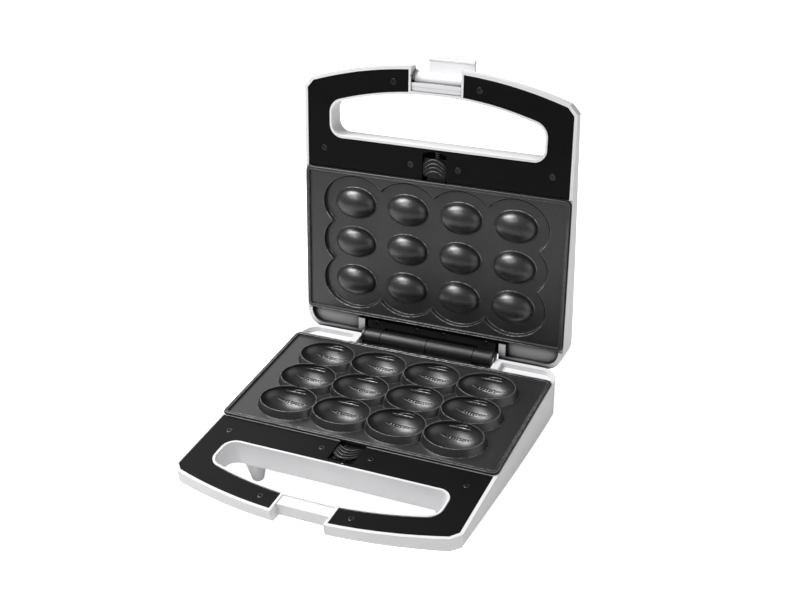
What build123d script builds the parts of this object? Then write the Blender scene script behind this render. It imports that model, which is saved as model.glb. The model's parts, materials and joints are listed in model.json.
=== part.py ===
from build123d import *
import os
from math import cos, radians, sin, sqrt, tan

os.makedirs("parts", exist_ok=True)

# A countertop snack maker that bakes nut-shaped biscuits: a base and a hinged lid, each with a
# removable cook plate, drawn with the lid open on its stop and the latch clip flipped back.
# All lengths are millimetres and all angles degrees.
# The base and the lid share one local frame: X across, Y towards the hinge with zero at the
# middle of the plate, Z towards the other half with zero on the parting plane.

# Cook plates
plate_width = 230.0
plate_depth = 126.2
plate_corner = 4.5
rim_gap = 0.4
rim_width = 2.6
rim_thickness = 1.8
field_drop = 1.5
plate_wall = 2.6
skirt_depth = 10.0
skirt_inset = 4.0
skirt_wall = 2.2
skirt_gap = 4.5

# Nut cups of the base plate and domes of the lid plate
columns = 4
rows = 3
column_pitch = 46.95
row_pitch = 34.14
grid_shift = -0.8
bowl_length = 46.4
bowl_width = 34.2
bowl_depth = 13.5
crest_height = 4.2
crest_land = 0.5
cup_flare = 3.2
cup_wall = 2.0
dome_length = 35.8
dome_width = 25.6
dome_height = 9.8
recess_length = 55.6
recess_width = 46.0
recess_depth = 4.8
recess_flare = 1.2

# Housings
rim_height = 46.5
side_margin = 0.8
deck_depth = 17.9
handle_reach = 92.2
handle_side = 67.0
handle_chamfer = 6.5
handle_shoulder = 74.5
rear_corner = 15.0
shoulder_corner = 6.0
wall = 2.6
draft = 2.5
rim_drop = 1.8
seat_drop = 2.3
well_drop = 6.0
well_lip = 4.0
well_cheek = 6.0
base_depth_rear = 40.0
base_depth_middle = 34.3
base_depth_grip = 23.6
base_depth_front = 13.0
lid_depth_rear = 34.5
lid_depth_middle = 28.6
lid_depth_grip = 20.0
lid_depth_front = 12.6
grip_back = 17.0
edge_round = 5.0

# Finger slot
slot_half = 93.4
slot_back = 26.5
slot_front = 71.8
slot_front_radius = 285.0
slot_back_corner = 11.0
slot_front_corner = 13.0
slot_wall = 2.0

# Trim panels and their screws
trim_line = 2.8
trim_drop = 2.2
trim_thickness = 2.4
trim_clearance = 0.15
trim_front_gap = 0.35
screw_head_radius = 2.7
screw_head_height = 1.5
screw_radius = 1.4
screw_length = 8.0
screw_fit = 0.05
screw_tip_room = 0.6
boss_radius = 4.0
outer_screw = (98.5, 16.8)
inner_screw = (20.6, 12.0)
front_screw = (36.5, 77.7)

# Release buttons
recess_half = 10.3
recess_bow = 2.4
recess_room = 1.8
button_gap = 0.3
button_near = 5.5
button_side = 14.4
button_apex = 18.6
button_drop = 2.6
button_top = 2.3
flange_half = 13.0
flange_thickness = 1.6
nose_half = 9.5
nose_drop = 4.0
nose_gap = 0.3
rail_inner = 11.0
rail_outer = 14.0
rib_half = 4.5
rib_thickness = 2.0
rib_reach = 13.0
rib_depth = 13.0
ridge_pitch = 3.2
ridge_width = 1.0
ridge_height = 0.5
ridges = 3
button_travel = 4.0
tongue_half = 7.5
tongue_reach = 3.2
tongue_thickness = 2.0
tongue_drop = 6.0
tongue_window_half = 11.5
tongue_window_depth = 16.0
spring_radius = 2.6
spring_wire = 0.7
spring_turns = 7

# Latch
notch_half = 23.2
notch_wall = 1.9
latch_half = 19.75
latch_pivot_reach = 81.0
latch_pivot_rise = 10.7
latch_barrel_radius = 5.2
latch_arm_thickness = 3.5
latch_catch_gap = 0.1
latch_lip_reach = 12.5
latch_lip_thickness = 3.0
latch_pin_radius = 1.5
lug_radius = 6.3
lug_inner = 20.1
base_notch_reach = 81.8
lid_notch_reach = 75.5
crosspiece_wall = 2.0
crosspiece_drop = 2.6
crosspiece_floor = 12.2
shelf_reach = 3.2
shelf_drop = 2.4
shelf_thickness = 2.6
groove_reach = 84.2
groove_width = 0.8
groove_depth = 0.6
latch_pin_half = 22.4
latch_bore_gap = 0.05
latch_bead = 0.6
latch_round = 3.0

# Hinge
hinge_behind = 16.6
hinge_below = 2.95
lid_angle = 99.6
knuckle_radius = 7.0
knuckle_middle = 42.0
knuckle_end = 58.0
knuckle_gap = 0.3
hinge_pin_radius = 2.5
running_fit = 0.05
bay_half = 61.0
bay_wall = 2.2
bay_depth = 12.0
bay_front = 3.2
bay_floor = 2.4
leaf_front_gap = 0.3
leaf_depth = 5.0
leaf_thickness = 7.0
cheek_thickness = 1.8
cheek_margin = 0.9
cheek_overlap = 1.0
hinge_pin_half = 58.5
hinge_foot_thickness = 2.5
leaf_web_back = 2.0
leaf_web_low = 2.0
leaf_web_high = 8.0
leaf_curtain_back = 1.5
leaf_curtain_gap = 0.5
hinge_screw_x = (12.0, 50.0)
hinge_boss_depth = 24.0
stop_inner = 75.0
stop_outer = 90.0
stop_reach = 6.5
stop_lip = 1.7
stop_root = 16.0
stop_gap = 0.3

# Plate tilt
tab_middle = 85.0
tab_half = 8.0
tab_reach = 2.6
tab_thickness = 1.8
tab_lift = 0.4
tab_room = 0.6
tab_swing = 2.7
bulkhead_half = 1.0
bulkhead_front = 1.5
bulkhead_back = 0.5
deck_thickness = 2.0
deck_gap = 1.6

# Heaters
element_radius = 3.25
element_half_width = 92.0
element_half_depth = 40.0
element_end_gap = 25.0
element_end_reach = 57.0
element_corner = 12.0
element_gap = 0.3
tray_half_width = 104.0
tray_half_depth = 52.0
tray_sheet = 0.6
tray_lip = 6.0
tray_corner = 6.0
tray_clear = 1.0
tray_step = 0.4
tray_post_radius = 4.0
tray_post_x = 99.0
tray_post_y = 20.0
tray_drop = 2.0
clip_wall = 0.8
clip_gap = 0.1
clip_width = 8.0
clip_open = 2.0
clip_foot = 5.0
element_pin_radius = 1.8
element_pin_length = 3.4
thermostat_y = 16.3
thermostat_radius = 8.0
thermostat_height = 7.0
thermostat_stem = 3.5
spade_near = 4.5
spade_thickness = 0.8
spade_width = 6.3
spade_length = 6.0
fuse_radius = 2.2
fuse_length = 12.0
fuse_lead = 0.6
fuse_lift = 0.4
fuse_x = -55.0
fuse_y = 47.6

# Feet
front_foot_x = 80.0
front_foot_reach = 14.0
front_foot_root = 10.5
front_foot_tip = 4.8
rear_foot_inset = 2.0
rear_foot_radius = 9.0
pad_thickness = 2.2
pad_proud = 1.2
pad_margin = 1.0

# Small rounds and recesses
trim_round = 0.6
button_round = 0.5
rim_round = 0.6
screw_slot = 3.0
screw_slot_width = 0.7
spigot_radius = 1.8
spigot_length = 2.5

# Electrical pieces
inlet_x = -88.0
inlet_drop = 27.0
inlet_bore = 3.5
inlet_body = 6.0
inlet_flange = 8.5
inlet_flange_thickness = 2.0
inlet_length = 10.0
inlet_nut_thickness = 2.5
terminal_x = -75.0
terminal_y = 46.0
terminal_size = (28.0, 13.0, 10.0)
terminal_floor = 33.0
terminal_post_radius = 4.0
terminal_wells = 3
terminal_well_pitch = 9.0
terminal_well_radius = 2.2
terminal_well_depth = 6.0
terminal_chamfer = 1.0
lead_hole_length = 40.0
lamp_x = 30.0
lamp_reach = 13.0
lamp_radius = 4.5
lamp_top = 17.0
lamp_bottom = 21.3
lamp_flange = 0.9

# Worked out from the sizes above
plate_front = -plate_depth / 2
plate_rear = plate_depth / 2
side = plate_width / 2 + side_margin
rear = plate_rear + deck_depth
front = plate_front - handle_reach
grip_y = plate_front - grip_back
rim_top = -rim_gap / 2
rim_bottom = rim_top - rim_thickness
field_top = rim_top - field_drop
slab_bottom = field_top - plate_wall
skirt_bottom = field_top - skirt_depth
trim_bottom = -trim_drop - trim_thickness
trim_rear = plate_front - trim_front_gap
flange_top = trim_bottom - button_gap
flange_bottom = flange_top - flange_thickness
tongue_bottom = -tongue_drop - tongue_thickness
nose_end = plate_front - tongue_reach - nose_gap
recess_apex = button_apex + button_travel + recess_room
recess_side = recess_apex - recess_bow
hinge_y = plate_rear + hinge_behind
hinge_z = rim_height - hinge_below
bay_face = plate_rear + bay_front
leaf_front = bay_face + leaf_front_gap
leaf_rear = leaf_front + leaf_depth
hinge_screw_y = (leaf_front + leaf_rear) / 2
latch_y = plate_front - latch_pivot_reach
latch_catch = crosspiece_floor + latch_pivot_rise + latch_bead + latch_catch_gap
notch_inner = notch_half - notch_wall
tab_drop = well_drop + deck_thickness + tab_lift
window_depth = tab_drop + tab_thickness + tab_swing
inner_window = tab_middle - tab_half - tab_room
outer_window = tab_middle + tab_half + tab_room
base_depths = (base_depth_rear, base_depth_middle, base_depth_grip, base_depth_front)
lid_depths = (lid_depth_rear, lid_depth_middle, lid_depth_grip, lid_depth_front)
below = -2 * rim_height
recess_floor = -recess_depth
base_element_z = crest_height - bowl_depth - cup_wall - element_gap - element_radius
lid_element_z = recess_floor - plate_wall - element_gap - element_radius
base_tray_bottom = base_element_z - element_radius - tray_drop - tray_sheet
lid_tray_bottom = lid_element_z - element_radius - tray_drop - tray_sheet
front_foot_y = plate_front - front_foot_reach
rear_foot_y = plate_rear + rear_foot_inset
rib_y = plate_front - rib_reach
spring_z = flange_bottom - spring_radius - spring_wire
spring_wall_y = plate_front - slot_back + trim_clearance
inlet_plane = Plane(
    origin=(inlet_x, rear - inlet_drop * tan(radians(draft)), -inlet_drop),
    x_dir=(1, 0, 0),
    z_dir=(0, cos(radians(draft)), -sin(radians(draft))),
)
screw_spots = [
    (sign * across, plate_front - reach)
    for across, reach in (outer_screw, inner_screw, front_screw)
    for sign in (-1, 1)
]
hinge_screw_spots = [
    (sign * across, hinge_screw_y) for across in hinge_screw_x for sign in (-1, 1)
]
tray_post_spots = [
    (across, along)
    for across in (-tray_post_x, tray_post_x)
    for along in (-tray_post_y, tray_post_y)
]
cup_centres = [
    (
        (column - (columns - 1) / 2) * column_pitch,
        (row - (rows - 1) / 2) * row_pitch + grid_shift,
    )
    for column in range(columns)
    for row in range(rows)
]
grid_span = ((columns - 1) * column_pitch, (rows - 1) * row_pitch)

from_below = (Align.CENTER, Align.CENTER, Align.MIN)
from_above = (Align.CENTER, Align.CENTER, Align.MAX)

# The base's local frame stands at rim height. The lid's is turned over on it, then swung open.
base_place = Location((0, 0, rim_height))
lid_shut = Plane(origin=(0, 0, rim_height), x_dir=(-1, 0, 0), z_dir=(0, 0, -1)).location
lid_swing = (
    Location((0, hinge_y, hinge_z))
    * Location((0, 0, 0), (-lid_angle, 0, 0))
    * Location((0, -hinge_y, -hinge_z))
)
lid_place = lid_swing * lid_shut


def keep(name, piece, place):
    """Move a piece from its half's local frame into the model and write its file."""
    with BuildPart() as node:
        add(piece.moved(place))
    node.part.label = name
    export_step(node.part, f"parts/{name}.step")


def block(xs, ys, zs, mode=Mode.ADD):
    """Box between two limits along each axis, in the part being built."""
    with Locations((sum(xs) / 2, sum(ys) / 2, sum(zs) / 2)):
        Box(xs[1] - xs[0], ys[1] - ys[0], zs[1] - zs[0], mode=mode)


def post(spot, radius, zs, mode=Mode.ADD):
    """Upright cylinder between two heights, in the part being built."""
    with Locations((*spot, sum(zs) / 2)):
        Cylinder(radius, zs[1] - zs[0], mode=mode)


def rod(y, z, radius, xs, mode=Mode.ADD):
    """Cylinder along X between two limits, in the part being built."""
    with Locations(Location((sum(xs) / 2, y, z), (0, 90, 0))):
        Cylinder(radius, xs[1] - xs[0], mode=mode)


def lid_point(y, z):
    """Where a point of the lid's middle plane stands in the base's local frame."""
    spot = base_place.inverse() * lid_place * Location((0, y, z))
    return spot.position.Y, spot.position.Z


def stop_top(y):
    """Height of the lid stops, just under the open lid's rear wall."""
    near_y, near_z = lid_point(rear - rim_drop * tan(radians(draft)), -rim_drop)
    far_y, far_z = lid_point(rear - lid_depth_rear * tan(radians(draft)), -lid_depth_rear)
    return near_z + (y - near_y) * (far_z - near_z) / (far_y - near_y) - stop_gap


def outline():
    """Plan shape of a housing, seen along Z."""
    shoulder = (side - handle_chamfer, plate_front - handle_shoulder)
    left_shoulder = (-shoulder[0], shoulder[1])
    start = (side, plate_front - handle_side)
    with BuildSketch(Plane.XY) as shape:
        with BuildLine():
            Line(start, (side, rear))
            Line((side, rear), (-side, rear))
            Line((-side, rear), (-side, start[1]))
            Line((-side, start[1]), left_shoulder)
            ThreePointArc(left_shoulder, (0, front), shoulder)
            Line(shoulder, start)
        make_face()
        corners = shape.vertices().group_by(Axis.Y)
        fillet(corners[-1], rear_corner)
        fillet(corners[0] + corners[1], shoulder_corner)
    return shape.sketch


def slot_outline(inset):
    """Plan shape of the trim's opening around the finger slot, smaller by inset."""
    back = plate_front - slot_back
    apex = plate_front - slot_front
    end = apex + slot_front_radius - sqrt(slot_front_radius**2 - slot_half**2)
    with BuildSketch(Plane.XY) as shape:
        with BuildLine():
            Line((-slot_half, back), (slot_half, back))
            Line((slot_half, back), (slot_half, end))
            ThreePointArc((slot_half, end), (0, apex), (-slot_half, end))
            Line((-slot_half, end), (-slot_half, back))
        make_face()
        fillet(shape.vertices().group_by(Axis.Y)[-1], slot_back_corner)
        fillet(shape.vertices().group_by(Axis.Y)[0], slot_front_corner)
        offset(amount=-inset, kind=Kind.INTERSECTION)
    return shape.sketch


def well_outline():
    """Plan shape of the sunk deck behind the plate, around the hinge bay and its cheeks."""
    plan = outline()
    with BuildSketch(Plane.XY) as shape:
        add(plan)
        offset(amount=-well_lip, kind=Kind.INTERSECTION)
        with Locations((0, plate_rear + bulkhead_back - 2 * rear)):
            Rectangle(4 * side, 4 * rear, mode=Mode.SUBTRACT)
        with Locations((0, bay_face + rear)):
            Rectangle(2 * (bay_half + well_cheek), 2 * rear, mode=Mode.SUBTRACT)
    return shape.sketch


def body(depths, inset, rounding):
    """Closed body inside a housing's outer skin, by inset."""
    plan = outline()
    rear_depth, middle_depth, grip_depth, front_depth = depths
    with BuildPart() as piece:
        with BuildSketch():
            add(plan)
            offset(amount=-inset, kind=Kind.INTERSECTION)
        extrude(amount=below, taper=draft)
        with BuildSketch(Plane.YZ.offset(-2 * side)):
            with BuildLine():
                skin = Spline(
                    (rear, -rear_depth + inset),
                    (0, -middle_depth + inset),
                    (grip_y, -grip_depth + inset),
                    (front, -front_depth + inset),
                )
                Line(skin @ 1, (front, 0))
                Line((front, 0), (rear, 0))
                Line((rear, 0), skin @ 0)
            make_face()
        extrude(amount=4 * side, mode=Mode.INTERSECT)
        lowest = piece.faces().filter_by(GeomType.PLANE, reverse=True).sort_by(Axis.Z)[0]
        fillet(lowest.edges(), rounding)
    return piece.part


def room(depths, notch_wall_back, tray_bottom):
    """The room inside a housing: its hollow less the walls and posts that stand in it."""
    hollow = body(depths, wall, edge_round - wall)
    slot = slot_outline(trim_clearance)
    full = (-side, side)
    with BuildPart() as inside:
        add(hollow)
        with BuildSketch(Plane.XY.offset(below)):
            add(slot)
        extrude(amount=-below, mode=Mode.SUBTRACT)
        for limits in (
            (plate_front - bulkhead_half, plate_front + bulkhead_half),
            (plate_rear - bulkhead_front, plate_rear + bulkhead_back),
        ):
            block(full, limits, (below, 0), mode=Mode.SUBTRACT)
        to_rear = (plate_rear - bulkhead_front, rear)
        block(full, to_rear, (-well_drop - deck_thickness, 0), mode=Mode.SUBTRACT)
        bay = (-bay_half - bay_wall, bay_half + bay_wall)
        block(bay, to_rear, (-bay_depth - bay_floor, 0), mode=Mode.SUBTRACT)
        notch = (-notch_half, notch_half)
        block(notch, (front, notch_wall_back), (below, 0), mode=Mode.SUBTRACT)
        behind = (notch_wall_back, plate_front - slot_front + 2 * slot_wall)
        block(notch, behind, (trim_bottom, 0), mode=Mode.SUBTRACT)
        block(notch, behind, (below, wall - crosspiece_floor), mode=Mode.SUBTRACT)
        along_rail = (plate_front - slot_back, plate_front)
        for sign in (-1, 1):
            cheek = sorted((sign * notch_inner, sign * notch_half))
            block(cheek, (front, behind[1]), (below, 0), mode=Mode.SUBTRACT)
            rail = sorted((sign * rail_inner, sign * rail_outer))
            rail_top = flange_bottom - button_gap
            block(rail, along_rail, (below, rail_top), mode=Mode.SUBTRACT)
        for spot in screw_spots:
            post(spot, boss_radius, (below, trim_bottom), mode=Mode.SUBTRACT)
        for spot in tray_post_spots:
            post(spot, tray_post_radius, (below, tray_bottom), mode=Mode.SUBTRACT)
        for spot in hinge_screw_spots:
            post(spot, boss_radius, (-hinge_boss_depth, 0), mode=Mode.SUBTRACT)
    return inside.part


def open_up(notch_reach, tray_bottom):
    """Openings and seats of a housing, cut from the part being built."""
    wide = (-2 * side, 2 * side)
    slot_hole = slot_outline(slot_wall)
    block(wide, (2 * front, 2 * rear), (-rim_drop, 1), mode=Mode.SUBTRACT)
    block(wide, (trim_rear, plate_rear + deck_gap), (-seat_drop, 1), mode=Mode.SUBTRACT)
    wells = well_outline().moved(Location((0, 0, -well_drop)))
    extrude(wells, amount=well_drop, mode=Mode.SUBTRACT)
    under_trim = (side - trim_line, plate_front - 2 * bulkhead_half)
    block(
        (-under_trim[0], under_trim[0]),
        (under_trim[1], trim_rear),
        (trim_bottom, 1),
        mode=Mode.SUBTRACT,
    )
    extrude(slot_hole.moved(Location((0, 0, below))), amount=-below, mode=Mode.SUBTRACT)
    notch = (-notch_inner, notch_inner)
    notch_back = plate_front - notch_reach
    block(notch, (2 * front, notch_back), (below, 1), mode=Mode.SUBTRACT)
    behind = (notch_back, plate_front - slot_front)
    block(notch, behind, (-crosspiece_drop, 1), mode=Mode.SUBTRACT)
    block(
        (-tongue_window_half, tongue_window_half),
        (plate_front - 2 * bulkhead_half, plate_front + 2 * bulkhead_half),
        (-tongue_window_depth, 1),
        mode=Mode.SUBTRACT,
    )
    for sign in (-1, 1):
        window = sorted((sign * inner_window, sign * outer_window))
        block(
            window,
            (plate_rear - 2 * bulkhead_front, plate_rear + deck_gap),
            (-window_depth, 1),
            mode=Mode.SUBTRACT,
        )
        groove = sorted((sign * notch_inner, sign * (notch_inner + groove_depth)))
        groove_y = plate_front - groove_reach
        block(groove, (groove_y, groove_y + groove_width), (below, 1), mode=Mode.SUBTRACT)
    block((-bay_half, bay_half), (bay_face, 2 * rear), (-bay_depth, 1), mode=Mode.SUBTRACT)
    bore = screw_radius + screw_fit
    for spot in screw_spots:
        post(spot, bore, (trim_bottom - screw_length, 1), mode=Mode.SUBTRACT)
    for spot in tray_post_spots:
        post(spot, bore, (tray_bottom - screw_length, tray_bottom + 1), mode=Mode.SUBTRACT)
    for spot in hinge_screw_spots:
        post(spot, bore, (-bay_depth - screw_length, 1), mode=Mode.SUBTRACT)


def base_housing():
    """White shell of the base with its handle, feet, lid stops and crosspiece."""
    outer = body(base_depths, 0, edge_round)
    wall_back = plate_front - base_notch_reach + crosspiece_wall
    inside = room(base_depths, wall_back, base_tray_bottom)
    post_height = rim_height - terminal_floor
    terminal_post = outer & Pos(terminal_x, terminal_y, -rim_height + post_height / 2) * Cylinder(
        terminal_post_radius, post_height
    )
    with BuildPart() as shell:
        add(outer)
        for sign in (-1, 1):
            foot = -rim_height + pad_proud
            cone_height = rim_height - pad_proud - base_depth_grip + wall
            with Locations((sign * front_foot_x, front_foot_y, foot + cone_height / 2)):
                Cone(front_foot_tip, front_foot_root, cone_height)
            post((sign * front_foot_x, rear_foot_y), rear_foot_radius, (foot, -wall))
            with BuildSketch(Plane.YZ.offset(sign * (stop_inner + stop_outer) / 2)):
                with BuildLine():
                    Polyline(
                        (rear - wall, stop_top(rear - wall)),
                        (rear + stop_reach, stop_top(rear + stop_reach)),
                        (rear + stop_reach, stop_top(rear + stop_reach) - stop_lip),
                        (rear - wall, -stop_root),
                        close=True,
                    )
                make_face()
            extrude(amount=(stop_outer - stop_inner) / 2, both=True)
        add(inside, mode=Mode.SUBTRACT)
        open_up(base_notch_reach, base_tray_bottom)
        under = (plate_front - base_notch_reach - 1, plate_front - slot_front + 2 * slot_wall)
        block((-notch_inner, notch_inner), under, (below, -crosspiece_floor), mode=Mode.SUBTRACT)
        for sign in (-1, 1):
            for y, tip in ((front_foot_y, front_foot_tip), (rear_foot_y, rear_foot_radius)):
                recess = (-rim_height, -rim_height + pad_thickness)
                post((sign * front_foot_x, y), tip - pad_margin, recess, mode=Mode.SUBTRACT)
        with Locations(inlet_plane.location):
            Cylinder(inlet_body + screw_fit, lead_hole_length, mode=Mode.SUBTRACT)
        add(terminal_post)
    return shell.part


def lid_housing():
    """White shell of the lid with the lugs that carry the latch clip."""
    outer = body(lid_depths, 0, edge_round)
    inside = room(lid_depths, plate_front - slot_front + slot_wall, lid_tray_bottom)
    notch_back = plate_front - lid_notch_reach
    with BuildPart() as shell:
        add(outer)
        add(inside, mode=Mode.SUBTRACT)
        open_up(lid_notch_reach, lid_tray_bottom)
        block(
            (-notch_inner, notch_inner),
            (notch_back - shelf_reach, notch_back),
            (-shelf_drop - shelf_thickness, -shelf_drop),
        )
        for sign in (-1, 1):
            lug = sorted((sign * lug_inner, sign * notch_half))
            rod(latch_y, -latch_pivot_rise, lug_radius, lug)
        bore = latch_pin_radius + latch_bore_gap
        pin = (-latch_pin_half - screw_fit, latch_pin_half + screw_fit)
        rod(latch_y, -latch_pivot_rise, bore, pin, mode=Mode.SUBTRACT)
        for sign in (-1, 1):
            lamp = (sign * lamp_x, plate_front - lamp_reach)
            post(lamp, lamp_radius + screw_fit, (below, -lamp_top), mode=Mode.SUBTRACT)
    return shell.part


def trim_panel():
    """Black panel let into the handle, with its slot, notch, button and screw openings."""
    plan = outline()
    slot = slot_outline(0)
    with BuildPart() as panel:
        with BuildSketch(Plane.XY.offset(trim_bottom)):
            add(plan)
            offset(amount=-trim_line - trim_clearance, kind=Kind.INTERSECTION)
            with Locations((0, rear + trim_rear - trim_clearance)):
                Rectangle(4 * side, 2 * rear, mode=Mode.SUBTRACT)
            add(slot, mode=Mode.SUBTRACT)
            with Locations((0, front)):
                notch_room = 2 * (plate_front - slot_front - front + slot_wall)
                Rectangle(2 * notch_half + 2 * trim_clearance, notch_room, mode=Mode.SUBTRACT)
            with BuildLine():
                Polyline(
                    (-recess_half, plate_front - recess_side),
                    (-recess_half, plate_front),
                    (recess_half, plate_front),
                    (recess_half, plate_front - recess_side),
                )
                ThreePointArc(
                    (-recess_half, plate_front - recess_side),
                    (0, plate_front - recess_apex),
                    (recess_half, plate_front - recess_side),
                )
            make_face(mode=Mode.SUBTRACT)
        extrude(amount=trim_thickness)
        top = panel.faces().sort_by(Axis.Z)[-1]
        fillet(top.edges(), trim_round)
        for spot in screw_spots:
            head = (-trim_drop - screw_head_height, 1)
            post(spot, screw_head_radius + screw_fit, head, mode=Mode.SUBTRACT)
            post(spot, screw_radius + screw_fit, (below, 1), mode=Mode.SUBTRACT)
    return panel.part


def screws(spots, seat, shank):
    """Cross-head screws standing on a seat, their shanks below it."""
    with BuildPart() as group:
        for spot in spots:
            post(spot, screw_head_radius, (seat, seat + screw_head_height))
        rims = group.faces().group_by(Axis.Z)[-1].edges()
        fillet(rims, screw_head_height / 3)
        for spot in spots:
            post(spot, screw_radius, (seat - shank, seat))
            for long, short in ((screw_slot, screw_slot_width), (screw_slot_width, screw_slot)):
                with Locations((*spot, seat + screw_head_height)):
                    Box(long, short, screw_head_height, mode=Mode.SUBTRACT)
    return group.part


def release_button():
    """Sliding catch: a ridged thumb plate, a flange in its rails, a nose and a spring rib."""
    far_side = plate_front - button_side
    near = plate_front - button_near
    half = recess_half - button_gap
    with BuildPart() as button:
        with BuildSketch(Plane.XY.offset(-button_drop - button_top)):
            with BuildLine():
                Polyline((-half, far_side), (-half, near), (half, near), (half, far_side))
                ThreePointArc(
                    (-half, far_side), (0, plate_front - button_apex), (half, far_side)
                )
            make_face()
        extrude(amount=button_top)
        top = button.faces().sort_by(Axis.Z)[-1]
        fillet(top.edges(), button_round)
        bow = button_apex - button_side
        with BuildSketch(Plane.XY.offset(-button_drop)):
            for count in range(1, ridges + 1):
                shift = count * ridge_pitch
                with BuildLine():
                    arc = ThreePointArc(
                        (-half + 1.5 * ridge_width, far_side + shift),
                        (0, far_side + shift - bow),
                        (half - 1.5 * ridge_width, far_side + shift),
                    )
                    back = ThreePointArc(
                        arc @ 1 + (0, ridge_width),
                        (0, far_side + shift - bow + ridge_width),
                        arc @ 0 + (0, ridge_width),
                    )
                    Line(arc @ 1, back @ 0)
                    Line(back @ 1, arc @ 0)
                make_face()
        extrude(amount=ridge_height)
        flange = (plate_front - button_apex + button_gap, near)
        block((-flange_half, flange_half), flange, (flange_bottom, flange_top))
        block((-nose_half, nose_half), (near, nose_end), (tongue_bottom, -nose_drop))
        block((-nose_half, nose_half), (near - 1, near), (tongue_bottom, -button_drop - 1))
        rib = (rib_y, rib_y + rib_thickness)
        block((-rib_half, rib_half), rib, (-rib_depth, flange_bottom))
        with Locations(Location((0, rib_y - spigot_length / 2, spring_z), (90, 0, 0))):
            Cylinder(spigot_radius, spigot_length)
    return button.part


def button_spring():
    """Compression spring between the button's rib and the wall of the finger slot."""
    length = rib_y - spring_wall_y
    height = length - spring_wire
    start = (0, spring_wall_y + spring_wire / 2, spring_z)
    with BuildPart() as spring:
        with BuildLine():
            coil = Helix(height / spring_turns, height, spring_radius, start, (0, 1, 0))
        with BuildSketch(Plane(origin=coil @ 0, z_dir=coil % 0)):
            Circle(spring_wire / 2)
        sweep(path=coil, is_frenet=True)
    return spring.part


def plate_blank():
    """Cook plate before its cups or domes: rim, field, skirt, front tongue and rear tabs."""
    inner = (plate_width - 2 * rim_width, plate_depth - 2 * rim_width)
    outer_skirt = (plate_width - 2 * skirt_inset, plate_depth - 2 * skirt_inset)
    inner_skirt = (outer_skirt[0] - 2 * skirt_wall, outer_skirt[1] - 2 * skirt_wall)
    with BuildPart() as blank:
        with BuildSketch(Plane.XY.offset(rim_bottom)):
            RectangleRounded(plate_width, plate_depth, plate_corner)
        extrude(amount=rim_thickness)
        with BuildSketch(Plane.XY.offset(field_top)):
            RectangleRounded(*inner, plate_corner - rim_width / 2)
        extrude(amount=field_drop, mode=Mode.SUBTRACT)
        top = blank.faces().sort_by(Axis.Z)[-1]
        fillet(top.edges(), rim_round)
        with BuildSketch(Plane.XY.offset(slab_bottom)):
            RectangleRounded(*inner, plate_corner - rim_width / 2)
        extrude(amount=plate_wall)
        with BuildSketch(Plane.XY.offset(skirt_bottom)):
            RectangleRounded(*outer_skirt, plate_corner - rim_width / 2)
            RectangleRounded(*inner_skirt, 1, mode=Mode.SUBTRACT)
        extrude(amount=slab_bottom - skirt_bottom)
        for sign in (-1, 1):
            gap = (sign * element_end_gap - skirt_gap, sign * element_end_gap + skirt_gap)
            block(gap, (0, plate_rear), (skirt_bottom, slab_bottom), mode=Mode.SUBTRACT)
        tongue = (plate_front - tongue_reach, plate_front + skirt_inset + skirt_wall / 2)
        block((-tongue_half, tongue_half), tongue, (tongue_bottom, -tongue_drop))
        tabs = (plate_rear - skirt_inset - skirt_wall / 2, plate_rear + tab_reach)
        for sign in (-1, 1):
            across = sorted((sign * (tab_middle - tab_half), sign * (tab_middle + tab_half)))
            block(across, tabs, (-tab_drop - tab_thickness, -tab_drop))
    return blank.part


def half_ball(lengths, upper):
    """Half of an ellipsoid with its flat side through the middle."""
    middle = (Align.CENTER, Align.CENTER)
    if upper:
        ball = Sphere(1, arc_size1=0, align=(*middle, Align.MIN))
    else:
        ball = Sphere(1, arc_size2=0, align=(*middle, Align.MAX))
    return scale(ball, by=lengths)


def base_plate():
    """Cook plate with twelve nut cups standing above its field."""
    blank = plate_blank()
    long, short = bowl_length / 2, bowl_width / 2
    bowl = half_ball((long, short, bowl_depth), False)
    bump = half_ball((long + cup_wall, short + cup_wall, bowl_depth + cup_wall), False)
    bump = bump - Pos(0, 0, field_top - crest_height + 2 * bowl_depth) * Box(
        4 * long, 4 * short, 4 * bowl_depth
    )
    with BuildPart() as plate:
        add(blank)
        for x, y in cup_centres:
            add(bump.moved(Location((x, y, crest_height))))
        for x, y in cup_centres:
            for height, spread in ((field_top, cup_flare), (crest_height, crest_land)):
                with BuildSketch(Plane.XY.offset(height)):
                    with Locations((x, y)):
                        Ellipse(long + spread, short + spread)
            loft()
        for x, y in cup_centres:
            add(bowl.moved(Location((x, y, crest_height))), mode=Mode.SUBTRACT)
    return plate.part


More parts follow.
